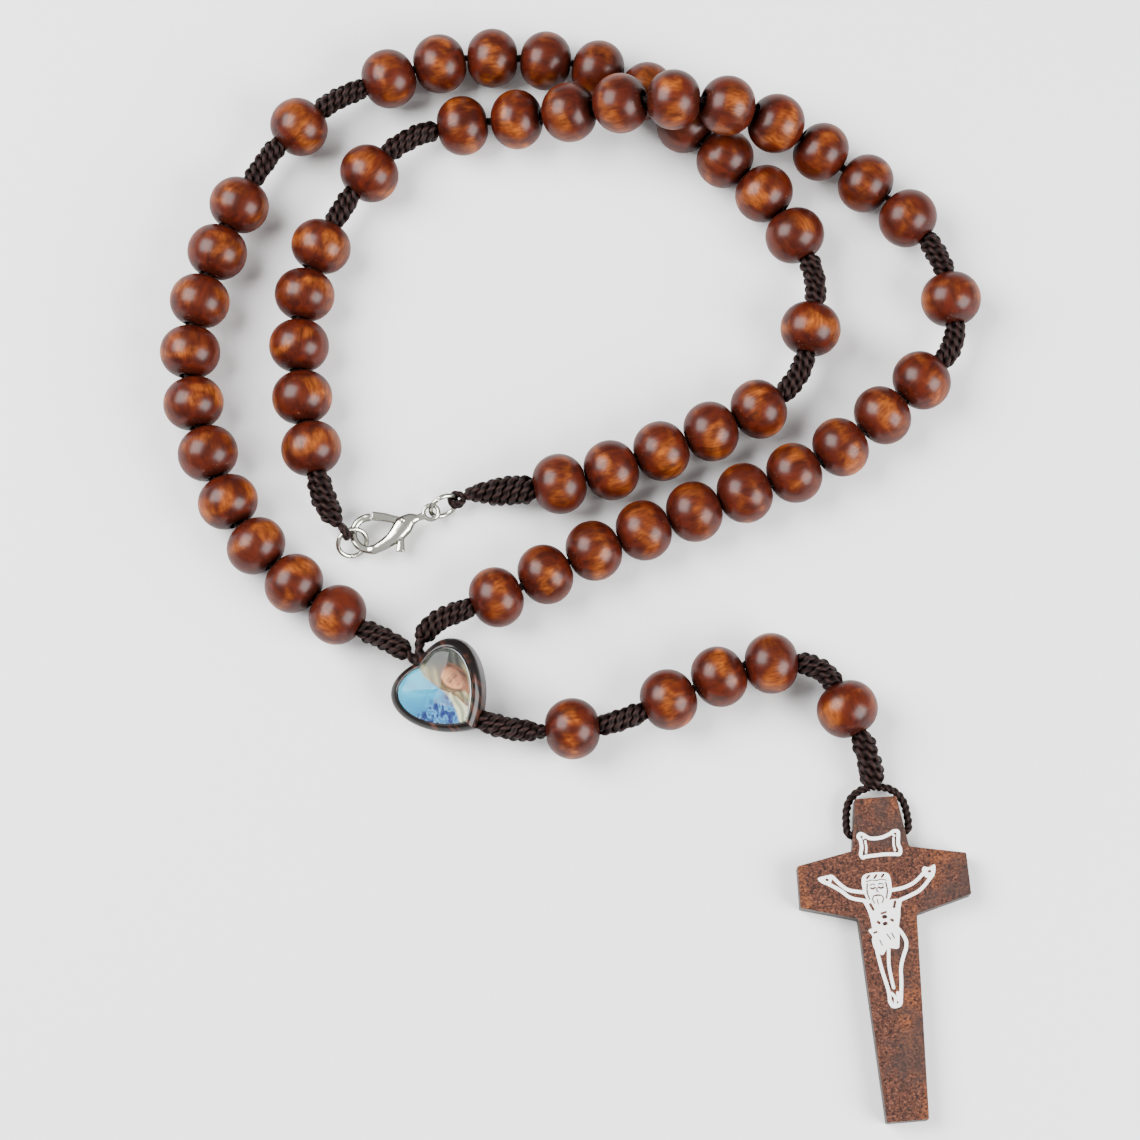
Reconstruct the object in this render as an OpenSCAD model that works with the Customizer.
// Rosary of round wooden beads on a knotted cord, laid out flat.
// Two strands leave the heart-shaped centrepiece, cross over themselves at the far
// end and meet at a lobster clasp. A short pendant strand carries the cross.
// Millimetres. Z is up, the beads rest on Z = 0, +Y points away from the cross.

/* [Beads] */
// Diameter of a bead across its hole
bead_d = 8; // [7.6:0.1:8]
// Length of a bead along its hole
bead_l = 6.7; // [6.2:0.1:6.8]
// Diameter of the hole through a bead
bead_hole_d = 2.2; // [2:0.1:2.6]

/* [Cord] */
// Diameter of the string that runs through the beads
string_d = 1.1; // [0.8:0.1:1.2]
// Diameter of a tied knot
knot_d = 3; // [2.6:0.1:3.2]
// Diameter of the cord that holds the cross
loop_d = 0.9; // [0.7:0.1:1]

/* [Heart] */
// Width of the heart across its two lobes
heart_w = 12.6; // [11:0.1:13]
// Length of the heart from its lobes to its tip
heart_l = 11.9; // [11:0.1:12.2]
// Thickness of the heart without its clear dome
heart_t = 4.2; // [3.6:0.1:4.4]
// Height of the clear dome over the picture
dome_h = 0.9; // [0.5:0.1:1.2]
// How far the heart lies over to one side, in degrees
heart_tilt = 17; // [10:1:22]

/* [Cross] */
// Thickness of the wooden cross
cross_t = 3; // [2.6:0.1:3.4]
// Half the width across the arms
arm_reach = 10.95; // [9:0.05:12]
// Length of the stem below the middle of the arms
stem_l = 30.9; // [26:0.1:34]
// Width of the stem at its foot
foot_w = 5.4; // [4:0.1:6.4]

/* [Clasp] */
// Thickness of the clasp's body
clasp_t = 2; // [1.8:0.1:2.2]
// Diameter of the wire-like hook
hook_d = 1; // [0.8:0.05:1.05]
// Diameter of the wire of a jump ring
ring_wire_d = 0.62; // [0.5:0.02:0.66]

/* [Hidden] */
$fn = 48;

// Colours of the stained wood, the cord and the plated metal
wood = [0.45, 0.17, 0.06];
cord = [0.13, 0.08, 0.08];
nickel = [0.78, 0.77, 0.74];

// Route of the left strand, from inside the heart round to the clasp's jump ring
left_route = [
    [-18.8, -15.6, 4.3], [-20, -13.9, 4.3], [-24, -11, 4], [-30.5, -8, 4], [-36, -3.5, 4],
    [-41, 1, 4], [-45, 7, 4], [-47.5, 14, 4], [-50, 20.5, 4], [-50.5, 27.5, 4],
    [-49.5, 34.5, 4], [-47, 41.5, 4], [-44.5, 48, 4], [-41, 54, 4], [-37, 59, 4],
    [-30.5, 63.5, 4], [-24, 66, 4], [-17.5, 68.5, 4], [-10, 69, 4], [-3, 68.5, 4],
    [4, 67.5, 4], [10.5, 64.5, 4], [15.5, 59.5, 4], [20.5, 54.5, 4], [26, 50.5, 4],
    [30, 44, 4], [32.5, 38, 4], [32, 31, 4], [30, 24.5, 4], [25, 19.5, 4],
    [18, 17, 4], [11.5, 14, 4], [5, 11.5, 4], [-2, 9.5, 4.15], [-9, 9, 3.4], [-13.7, 8.9, 2.2]
];
// Route of the right strand, from inside the heart over the left one to the other ring
right_route = [
    [-18, -15, 4.4], [-19.4, -13.4, 4.4], [-19.3, -10.9, 4.1], [-16.7, -8.2, 4], [-9.5, -5.5, 4],
    [-3.5, -2.5, 4], [3, 1, 4], [9.5, 3.5, 4], [16, 6, 4], [22.5, 8.5, 4],
    [29, 11, 4], [35.5, 14.5, 4], [41, 19, 4], [46, 23.5, 4], [50.5, 28.5, 4],
    [51, 35, 4], [49, 41, 4], [45.5, 46.5, 4], [40, 51, 4], [34, 55, 4.4],
    [28, 58.5, 7.6], [21, 60, 10.8], [13.5, 60.2, 12.4], [6.5, 60.5, 10.2], [-0.5, 60, 6.8],
    [-7.5, 60, 4.4], [-14.5, 59.5, 4], [-21.5, 57.5, 4], [-27, 53, 4], [-30.5, 47.5, 4],
    [-33.5, 42.5, 4], [-35.5, 35.5, 4], [-36, 28.5, 4], [-35.5, 21.5, 4], [-34, 14.5, 4],
    [-32.4, 8, 4], [-30.5, 4.7, 3.6]
];
// Route of the pendant strand, from inside the heart's tip to the cord round the cross
pendant_route = [
    [-14, -19.7, 4.3], [-12, -21.4, 4.3], [-7.1, -22.9, 4], [0.5, -23, 4], [7, -21.5, 4],
    [12.5, -19, 4], [19.5, -16, 4], [25.5, -13.5, 4], [32.5, -15, 4.1], [36, -20, 4.2],
    [38.5, -26, 3.2], [39.4, -30.2, 1.7]
];

// A strand's plan: where its first knot starts, the length of each knot,
// the number of beads after each knot, and the length of cord that each bead takes
left_plan = [3.9, [6.75, 6.5, 6.8, 6.4, 6.7, 8.8], [10, 1, 10, 1, 5, 0], [7.15, 7.1, 7.2, 7.1, 7.1, 0]];
right_plan = [4.9, [7.74, 5.8, 5.6, 7.4, 5, 7.2], [10, 1, 10, 1, 5, 0], [7.1, 7.1, 7.45, 7.1, 7.1, 0]];
pendant_plan = [3, [8.7, 6, 5.8, 7.2], [1, 3, 1, 0], [7.1, 7.25, 7.1, 0]];

// Where each joint bends its knot, as a share of the knot's length
knot_bend = 0.5;
// Room left before and after a bend inside a knot, and at a fold between two beads
bend_gap = 0.7;
fold_gap = 0.25;
// Room left between a knot and its neighbours on the string
knot_gap = 0.5;
// Thin rims of the knots, and the bore that the string runs through
knot_tip_d = 2;
knot_bore_d = 1.5;
// Taper at each end of a knot, and the narrow end of a knot that holds an end loop
knot_taper = 0.7;
end_knot_tip_d = 1.8;
// Diameter of the thick knot by the clasp
thick_knot_d = 3.8;

// Place of the heart, and the heading of its right lobe
heart_at = [-16.55, -17.5, 4.25];
heart_heading = 40;
// Share of the heart's outline that the picture fills, and the pocket it lies in
picture_share = 0.82;
pocket_depth = 0.5;
picture_t = 0.25;
// Holes for two cords at the notch and for one beside the tip
notch_hole_d = 2.5;
tip_hole_d = 1.8;
tip_hole_turn = 10;

// Place and heading of the cross, whose own Y runs up its stem
cross_at = [40.4, -42.35, 0];
cross_heading = 4.7;
head_reach = 10.8;
// Height of the cord's hole above the middle of the arms, and its diameter
hole_rise = 6.3;
cross_hole_d = 1.5;
print_t = 0.12;

// Centre and heading of the clasp, whose own X runs from its eye to its hook
clasp_at = [-18.3, 6.5, 2];
clasp_heading = 202.8;
// Middle and radius of the hook's arc, and the lever's pivot
hook_at = [8.5, -0.45];
hook_r = 2.2;
pivot_at = [3.9, -0.3];
eye_hole_d = 1.4;
pin_d = 0.68;
lever_t = 0.8;
slot_t = 0.95;

// Jump rings: middle, heading of the line that each leans about, lean and radius
clasp_ring = [[-16.65, 7.34, 2.05], 27, 64, 1.85];
strand_ring = [[-28.6, 2.4, 2], 207.6, -42, 1.95];
// Where the cord's loop sits round each ring, as an angle along the ring
clasp_loop_turn = 0;
strand_loop_turn = -82;
end_loop_r = 0.9;
end_loop_wire_d = 0.6;

// ---- Curves -------------------------------------------------------------------

// A point between b and c on a smooth curve through a, b, c and d
function smooth(a, b, c, d, t) = 0.5 * (2 * b + (c - a) * t
    + (2 * a - 5 * b + 4 * c - d) * t * t + (3 * b - 3 * c + d - a) * t * t * t);
function route_point(route, i) = route[max(0, min(len(route) - 1, i))];
function curve(route, steps = 8) = [
    for (i = [0:len(route) - 2], k = [0:steps - 1])
        smooth(route_point(route, i - 1), route_point(route, i), route_point(route, i + 1),
            route_point(route, i + 2), k / steps),
    route[len(route) - 1]
];
// The distance along a curve at each of its points
function distances(points) = [
    for (i = 0, s = 0; i < len(points);
        s = s + (i < len(points) - 1 ? norm(points[i + 1] - points[i]) : 0), i = i + 1) s
];
// Three tables that give x, y and z for a distance along the route
function track(route) = let(points = curve(route), s = distances(points))
    [for (axis = [0:2]) [for (i = [0:len(points) - 1]) [s[i], points[i][axis]]]];
function at(tr, s) = [lookup(s, tr[0]), lookup(s, tr[1]), lookup(s, tr[2])];
function unit(v) = v / norm(v);

left = track(left_route);
right = track(right_route);
pendant = track(pendant_route);

// Where knot k of a plan starts and ends, and where its run's bead j starts
function knot_start(plan, k) = k == 0 ? plan[0]
    : knot_start(plan, k - 1) + plan[1][k - 1] + plan[2][k - 1] * plan[3][k - 1];
function knot_end(plan, k) = knot_start(plan, k) + plan[1][k];
function knot_middle(plan, k) = knot_start(plan, k) + knot_bend * plan[1][k];
function bead_start(plan, k, j) = knot_end(plan, k) + j * plan[3][k];

// The knot that a distance lies in, if any
function knot_at(plan, s) = [
    for (k = [0:len(plan[1]) - 1]) if (s > knot_start(plan, k) && s < knot_end(plan, k)) k
];
// The string's middle at a distance: on the route, but straight through each knot
function string_at(tr, plan, s) = let(k = knot_at(plan, s))
    len(k) == 0 ? at(tr, s)
    : let(
        a = knot_start(plan, k[0]),
        b = knot_end(plan, k[0])
    ) at(tr, a) + (at(tr, b) - at(tr, a)) * (s - a) / (b - a);

// Every distance at which the string may bend: the ends of its knots and beads
function bends(plan) = [
    for (k = [0:len(plan[1]) - 1]) each [
        knot_start(plan, k),
        for (j = [0:plan[2][k]]) bead_start(plan, k, j)
    ]
];
function stops(plan, from, to) =
    [from, for (s = bends(plan)) if (s > from + 0.3 && s < to - 0.3) s, to];

// Turns a shape's own Z to the straight line from point a to point b, at its middle
module between(a, b) {
    d = b - a;
    translate((a + b) / 2)
        rotate([0, acos(d.z / norm(d)), atan2(d.y, d.x)])
            children();
}

// A round tube through points, as one solid with flat ends
module tube(points, d, sides = 8) {
    last = len(points) - 1;
    function heading(i) = unit(points[min(last, i + 1)] - points[max(0, i - 1)]);
    function across(i) = unit(cross(heading(i), [0, 0.02, 1]));
    function ring(i) = [
        for (k = [0:sides - 1]) let(turn = k * 360 / sides)
            points[i] + d / 2 * (across(i) * cos(turn) + cross(heading(i), across(i)) * sin(turn))
    ];
    polyhedron(
        [for (i = [0:last]) each ring(i)],
        [
            [for (k = [0:sides - 1]) k],
            for (i = [0:last - 1], k = [0:sides - 1]) let(n = (k + 1) % sides)
                each [
                    [i * sides + k, (i + 1) * sides + k, i * sides + n],
                    [i * sides + n, (i + 1) * sides + k, (i + 1) * sides + n]
                ],
            [for (k = [sides - 1:-1:0]) last * sides + k]
        ]
    );
}

// ---- Beads, knots and string --------------------------------------------------

// One bead about the origin, its hole along Z
module bead() {
    side_r = (bead_d * bead_d / 4 + bead_l * bead_l / 4 - bead_hole_d * bead_d / 2
        + bead_hole_d * bead_hole_d / 4) / (bead_d - bead_hole_d);
    color(wood)
        rotate_extrude()
            intersection() {
                translate([bead_d / 2 - side_r, 0]) circle(side_r);
                translate([bead_hole_d / 2, -bead_d / 2]) square(bead_d);
            }
}

// Beads from one to another of the run that follows knot k
module beads(tr, plan, k, first, last) {
    for (j = [first:last])
        between(at(tr, bead_start(plan, k, j)), at(tr, bead_start(plan, k, j + 1)))
            bead();
}

// The knot k of a plan, a braided barrel drawn plain, narrow where the string leaves it.
// A strand's last knot, with no beads after it, reaches its ring or cord.
module knot(tr, plan, k, d = knot_d, tip_d = knot_tip_d, taper = knot_taper) {
    start = at(tr, knot_start(plan, k));
    end = at(tr, knot_end(plan, k));
    low = knot_gap - norm(end - start) / 2;
    high = norm(end - start) / 2 - (plan[2][k] == 0 ? 0 : knot_gap);
    color(cord)
        between(start, end)
            rotate_extrude()
                polygon([
                    [knot_bore_d / 2, low], [knot_tip_d / 2, low],
                    [d / 2, low + knot_taper], [d / 2, high - taper],
                    [tip_d / 2, high], [knot_bore_d / 2, high]
                ]);
}

// The string between two distances along a strand
module string(tr, plan, from, to) {
    color(cord)
        tube([for (s = stops(plan, from, to)) string_at(tr, plan, s)], string_d);
}

// ---- Heart --------------------------------------------------------------------

// Outline of a plump heart, lobes up, with a share of its full size
function heart_outline(share = 1, sides = 60) = [
    for (i = [0:sides - 1]) let(t = 360 * i / sides)
        share * [
            heart_w / 2 * sign(sin(t)) * pow(abs(sin(t)), 2.4),
            heart_l / 11.9 * (6.43 * cos(t) - 1.35 * cos(2 * t) - 0.72 * cos(3 * t) + 0.11 * cos(4 * t))
        ]
];

module heart_frame() {
    translate(heart_at)
        rotate([0, 0, heart_heading])
            rotate([0, -heart_tilt, 0])
                children();
}

module heart_body() {
    color([0.16, 0.09, 0.07])
        heart_frame()
            difference() {
                translate([0, 0, -heart_t / 2])
                    linear_extrude(heart_t) polygon(heart_outline());
                translate([0, 0, heart_t / 2 - pocket_depth])
                    linear_extrude(heart_t) polygon(heart_outline(picture_share));
                rotate([-90, 0, 0]) cylinder(d = notch_hole_d, h = heart_l);
                rotate([90, 0, tip_hole_turn]) cylinder(d = tip_hole_d, h = heart_l);
            }
}

module heart_picture() {
    color([0.35, 0.65, 0.85])
        heart_frame()
            translate([0, 0, heart_t / 2 - pocket_depth])
                linear_extrude(picture_t) polygon(heart_outline(picture_share - 0.01));
}

// The clear dome, in steps of ever smaller outlines that follow a rounded top
module heart_dome() {
    steps = 4;
    height = pocket_depth - picture_t + dome_h;
    rings = [
        for (i = [0:steps]) let(rise = i / steps)
            [(picture_share - 0.01) * sqrt(1 - 0.85 * rise * rise), height * rise]
    ];
    sides = 60;
    color([0.8, 0.9, 1, 0.5])
        heart_frame()
            translate([0, 0, heart_t / 2 - pocket_depth + picture_t])
                polyhedron(
                    [for (r = rings) each [for (p = heart_outline(r[0], sides)) [p.x, p.y, r[1]]]],
                    [
                        [for (k = [0:sides - 1]) k],
                        for (i = [0:steps - 1], k = [0:sides - 1]) let(n = (k + 1) % sides)
                            each [
                                [i * sides + k, (i + 1) * sides + k, i * sides + n],
                                [i * sides + n, (i + 1) * sides + k, (i + 1) * sides + n]
                            ],
                        [for (k = [sides - 1:-1:0]) steps * sides + k]
                    ]
                );
}

// ---- Cross --------------------------------------------------------------------

module cross_frame() {
    translate(cross_at)
        rotate([0, 0, cross_heading])
            children();
}

// Half of the outline, from the top of the head to the foot
cross_side = [
    [2.7, head_reach], [3.7, 4.1], [arm_reach, 2.7], [arm_reach + 0.1, -2.7],
    [3.8, -4.7], [foot_w / 2, -stem_l]
];

module cross_body() {
    color([0.42, 0.18, 0.1])
        cross_frame()
            difference() {
                linear_extrude(cross_t)
                    polygon([
                        for (p = cross_side) p,
                        for (i = [len(cross_side) - 1:-1:0]) [-cross_side[i].x, cross_side[i].y]
                    ]);
                translate([0, hole_rise, cross_t / 2])
                    rotate([0, 90, 0])
                        cylinder(d = cross_hole_d, h = 4 * arm_reach, center = true);
            }
}

// A rounded bar between two points of the print
module stroke(a, b, wide_a, wide_b) {
    hull() {
        translate(a) circle(d = wide_a, $fn = 12);
        translate(b) circle(d = wide_b, $fn = 12);
    }
}

// The printed figure as a plain outline: head, arms, body, cloth and legs
module cross_figure() {
    color("white")
        cross_frame()
            translate([-0.3, 0, cross_t])
                linear_extrude(print_t) {
                    for (side = [-1, 1]) {
                        stroke([side * 1.6, -2], [side * 4.6, -1.2], 1, 0.8);
                        stroke([side * 4.6, -1.2], [side * 7, 0.6], 0.8, 0.6);
                        stroke([side * 0.9, -8.8], [side * 0.3, -15.6], 1.6, 1.2);
                    }
                    stroke([0, -2.6], [0, -6], 3.4, 2.4);
                    stroke([0, -6.8], [0, -8.4], 3, 3.2);
                    translate([-0.8, -1.1]) circle(d = 3, $fn = 24);
                }
}

// The plain printed scroll above the figure: a sheet with two rolled ends
module cross_scroll() {
    color("white")
        cross_frame()
            translate([-0.15, 4.6, cross_t])
                linear_extrude(print_t)
                    difference() {
                        union() {
                            square([4.6, 2.7], center = true);
                            for (side = [-1, 1])
                                stroke([side * 2.2, -1.2], [side * 2.2, 1.2], 0.9, 0.9);
                        }
                        square([3.4, 1.7], center = true);
                    }
}

// The cord that leaves the last knot, runs round the head and through its hole
module cross_loop() {
    half = [
        [0.55, 12.3, 1.7], [1.9, 12, 1.6], [3.1, 11.1, 1.5], [3.75, 9.8, 1.5],
        [4, 8, 1.5], [3.95, 6.8, 1.5], [3.5, hole_rise, 1.5], [1.2, hole_rise, 1.5]
    ];
    route = [
        for (p = half) p,
        for (i = [len(half) - 1:-1:0]) [-half[i].x, half[i].y, half[i].z]
    ];
    color(cord)
        cross_frame()
            tube(curve(route, 2), loop_d);
}

// ---- Clasp and rings ----------------------------------------------------------

module clasp_frame() {
    translate(clasp_at)
        rotate([0, 0, clasp_heading])
            children();
}

// A round-ended web of one thickness between two places in the clasp's plane
module web(a, b, r_a, r_b, t) {
    hull() {
        translate([a.x, a.y, 0]) cylinder(r = r_a, h = t, center = true, $fn = 32);
        translate([b.x, b.y, 0]) cylinder(r = r_b, h = t, center = true, $fn = 32);
    }
}

module clasp_body() {
    nose_turn = -115;
    bar_turn = 100;
    color(nickel)
        clasp_frame()
            difference() {
                union() {
                    cylinder(d = eye_hole_d + 1.1, h = 0.9, center = true);
                    web([1.2, 0], [2.6, -0.5], 0.5, 0.9, 1.2);
                    web([2.6, -0.5], [4.6, 0.4], 1, 1.25, clasp_t);
                    web([4.8, 0.7], [7.9, 1.7], 0.9, 0.55, clasp_t * 0.8);
                    translate([hook_at.x, hook_at.y, 0]) {
                        rotate([0, 0, nose_turn])
                            rotate_extrude(angle = bar_turn - nose_turn)
                                translate([hook_r, 0]) circle(d = hook_d, $fn = 24);
                        rotate([0, 0, nose_turn])
                            translate([hook_r, 0, 0]) sphere(d = hook_d, $fn = 24);
                    }
                }
                cylinder(d = eye_hole_d, h = 2 * clasp_t, center = true);
                translate([2.9, -4, -slot_t / 2]) cube([3.7, 8, slot_t]);
                translate([pivot_at.x, pivot_at.y, 0])
                    cylinder(d = pin_d + 0.04, h = 2 * clasp_t, center = true);
            }
}

// The gate that closes the hook, its thumb tab and the hub that turns on the pin
module clasp_lever() {
    hub_r = 0.72;
    color(nickel)
        clasp_frame()
            difference() {
                union() {
                    web([4.75, -0.95], [6.55, -2.15], 0.4, 0.4, lever_t);
                    web([4.5, 0.65], [5.5, 3.2], 0.45, 0.55, lever_t);
                    translate([0, 0, lever_t / 4])
                        web(pivot_at, [4.6, -0.3], hub_r, 0.6, lever_t / 2);
                    web([4.9, -0.6], [4.75, 0.6], 0.3, 0.3, lever_t);
                }
                translate([pivot_at.x, pivot_at.y, 0])
                    cylinder(d = pin_d + 0.1, h = 2 * clasp_t, center = true);
            }
}

module clasp_pin() {
    color(nickel)
        clasp_frame()
            translate([pivot_at.x, pivot_at.y, 0])
                cylinder(d = pin_d, h = clasp_t, center = true);
}

// The small coil spring round the pin, under the lever's hub
module clasp_spring() {
    turns = 2;
    steps = 12;
    color([0.6, 0.6, 0.6])
        clasp_frame()
            tube([
                for (i = [0:turns * steps]) let(turn = i * 360 / steps)
                    [pivot_at.x + 0.46 * cos(turn), pivot_at.y + 0.46 * sin(turn),
                        -0.36 + 0.13 * i / steps]
            ], 0.1, 6);
}

// Stands a shape in the plane of a jump ring, whose own X is the line it leans about
module ring_frame(ring) {
    translate(ring[0])
        rotate([0, 0, ring[1]])
            rotate([ring[2], 0, 0])
                children();
}

module jump_ring(ring) {
    color(nickel)
        ring_frame(ring)
            rotate_extrude()
                translate([ring[3], 0]) circle(d = ring_wire_d, $fn = 24);
}

// The small loop of cord that a strand's last knot ties round a jump ring
module end_loop(ring, turn) {
    color(cord)
        ring_frame(ring)
            rotate([0, 0, turn])
                translate([ring[3] + 0.1, 0, 0])
                    rotate([90, 0, 0])
                        rotate_extrude()
                            translate([end_loop_r, 0]) circle(d = end_loop_wire_d, $fn = 24);
}

// ---- Stretches of string that share a node ------------------------------------

module string_near() {
    string(left, left_plan, 0, bead_start(left_plan, 0, 3) - fold_gap);
    string(left, left_plan, knot_middle(left_plan, 1) + bend_gap,
        bead_start(left_plan, 2, 3) - fold_gap);
    string(left, left_plan, knot_middle(left_plan, 5) + bend_gap, knot_end(left_plan, 5) - 1.4);
    string(right, right_plan, 0, bead_start(right_plan, 0, 1) - fold_gap);
    string(right, right_plan, bead_start(right_plan, 2, 9) + fold_gap,
        knot_end(right_plan, 5) - 2.2);
    string(pendant, pendant_plan, 0, knot_middle(pendant_plan, 0) - bend_gap);
}

module string_left_edge() {
    string(left, left_plan, bead_start(left_plan, 0, 3) + fold_gap,
        knot_middle(left_plan, 1) - bend_gap);
}

module string_middle() {
    string(left, left_plan, bead_start(left_plan, 2, 3) + fold_gap,
        knot_middle(left_plan, 5) - bend_gap);
    string(right, right_plan, bead_start(right_plan, 0, 1) + fold_gap,
        bead_start(right_plan, 0, 8) - fold_gap);
    string(right, right_plan, bead_start(right_plan, 2, 2) + fold_gap,
        bead_start(right_plan, 2, 9) - fold_gap);
}

module string_right_edge() {
    string(right, right_plan, bead_start(right_plan, 0, 8) + fold_gap,
        bead_start(right_plan, 2, 2) - fold_gap);
}

module string_pendant(k) {
    string(pendant, pendant_plan,
        knot_middle(pendant_plan, k) + bend_gap, knot_middle(pendant_plan, k + 1) - bend_gap);
}

heart_body();
heart_picture();
heart_dome();
cross_body();
cross_figure();
cross_scroll();
cross_loop();
clasp_body();
clasp_lever();
clasp_pin();
clasp_spring();
jump_ring(clasp_ring);  // clasp_jump_ring
jump_ring(strand_ring);  // strand_jump_ring
end_loop(clasp_ring, clasp_loop_turn);  // clasp_end_loop
end_loop(strand_ring, strand_loop_turn);  // strand_end_loop
knot(left, left_plan, 0);  // knot_left_1
knot(left, left_plan, 1);  // knot_left_2
knot(left, left_plan, 2);  // knot_left_3
knot(left, left_plan, 3);  // knot_left_4
knot(left, left_plan, 4);  // knot_left_5
knot(left, left_plan, 5, thick_knot_d, end_knot_tip_d, 5);  // knot_left_6
knot(right, right_plan, 0);  // knot_right_1
knot(right, right_plan, 1);  // knot_right_2
knot(right, right_plan, 2);  // knot_right_3
knot(right, right_plan, 3);  // knot_right_4
knot(right, right_plan, 4);  // knot_right_5
knot(right, right_plan, 5, knot_d, end_knot_tip_d, 2);  // knot_right_6
knot(pendant, pendant_plan, 0);  // knot_pendant_1
knot(pendant, pendant_plan, 1);  // knot_pendant_2
knot(pendant, pendant_plan, 2);  // knot_pendant_3
knot(pendant, pendant_plan, 3);  // knot_pendant_4
beads(left, left_plan, 1, 0, 0);  // our_father_1
beads(left, left_plan, 3, 0, 0);  // our_father_2
beads(right, right_plan, 1, 0, 0);  // our_father_3
beads(right, right_plan, 3, 0, 0);  // our_father_4
beads(pendant, pendant_plan, 0, 0, 0);  // our_father_5
beads(pendant, pendant_plan, 2, 0, 0);  // our_father_6
beads(pendant, pendant_plan, 1, 0, 0);  // hail_mary_1
beads(pendant, pendant_plan, 1, 1, 1);  // hail_mary_2
beads(pendant, pendant_plan, 1, 2, 2);  // hail_mary_3
beads(left, left_plan, 0, 0, 2);  // decade_1_near
beads(left, left_plan, 0, 3, 9);  // decade_1_edge
beads(left, left_plan, 2, 0, 2);  // decade_2_near
beads(left, left_plan, 2, 3, 9);  // decade_2_middle
beads(right, right_plan, 0, 0, 0);  // decade_3_near
beads(right, right_plan, 0, 1, 7);  // decade_3_middle
beads(right, right_plan, 0, 8, 9);  // decade_3_edge
beads(right, right_plan, 2, 0, 1);  // decade_4_edge
beads(right, right_plan, 2, 2, 8);  // decade_4_middle
beads(right, right_plan, 2, 9, 9);  // decade_4_near
beads(left, left_plan, 4, 0, 4);  // decade_5_middle
beads(right, right_plan, 4, 0, 4);  // decade_5_near
string_near();
string_left_edge();
string_middle();
string_right_edge();
string_pendant(0);  // string_pendant_1
string_pendant(1);  // string_pendant_2
string_pendant(2);  // string_pendant_3
